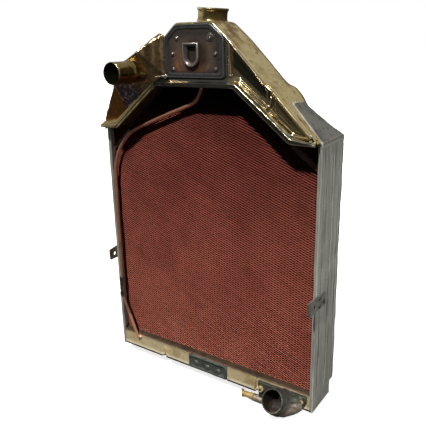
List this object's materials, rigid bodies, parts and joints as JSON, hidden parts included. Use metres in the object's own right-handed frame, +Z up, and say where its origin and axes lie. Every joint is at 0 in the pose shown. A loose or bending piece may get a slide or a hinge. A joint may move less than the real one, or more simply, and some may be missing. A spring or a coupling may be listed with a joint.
{
  "type": "car radiator",
  "caption": "Vintage car radiator with a gabled brass header tank, honeycomb core, pressed side plates, hose spigots, overflow pipe and a shallow bottom tank.",
  "frame": {"origin": "centre plane of the radiator, engine-side face of the side plates, underside of the bottom tank and its pad", "axes": "+X towards the side with the bottom hose elbow, +Y away from the engine-side face, +Z up to the filler neck"},
  "size_m": [0.4768, 0.192, 0.7331],
  "materials": {
    "core_red": "matt oxide-red paint over copper",
    "polished_brass": "old polished brass",
    "satin_brass": "pale satin brass",
    "dull_brass": "olive stained brass",
    "patched_brass": "heat-stained brass with solder",
    "stained_copper": "dark stained sheet",
    "tinned_steel": "dull tinned sheet with dirty edges",
    "dark_bronze": "dark patinated bronze",
    "bright_steel": "worn bright metal",
    "black_iron": "black casting",
    "grey_casting": "dark grey casting",
    "copper_pipe": "browned copper"
  },
  "bodies": {
    "radiator": {"core": "core_red", "upper_tube_plate": "dull_brass", "lower_tube_plate": "stained_copper", "bottom_tank": "satin_brass", "side_plate_left": "tinned_steel", "side_plate_right": "tinned_steel", "header_engine_sheet": "polished_brass", "header_front_sheet": "dull_brass", "header_top_sheet": "dull_brass", "header_lip": "polished_brass", "shoulder_left": "tinned_steel", "shoulder_right": "tinned_steel", "vent_plate": "dark_bronze", "vent_plate_studs": "bright_steel", "vent_sleeve": "dark_bronze", "inlet_housing": "patched_brass", "inlet_spigot": "polished_brass", "inlet_baffle": "dull_brass", "filler_neck": "dull_brass", "neck_rim": "polished_brass", "overflow_pipe": "copper_pipe", "corner_stay_left": "tinned_steel", "corner_stay_right": "tinned_steel", "side_bracket_left": "tinned_steel", "side_bracket_right": "tinned_steel", "bracket_rivets": "bright_steel", "mounting_pad": "black_iron", "pad_rivets": "bright_steel", "outlet_elbow": "grey_casting", "outlet_studs": "bright_steel", "outlet_nuts": "satin_brass", "drain_boss": "grey_casting", "drain_tap_barrel": "satin_brass"},
    "tap_key": {"drain_tap_key": "polished_brass"}
  },
  "joints": [
    {"name": "drain_tap_turn", "type": "hinge", "parent": "radiator", "child": "tap_key", "pos_m": [0.09, -0.002, -0.0125], "axis": [-1, 0, 0], "range_deg": [0, 90]}
  ]
}
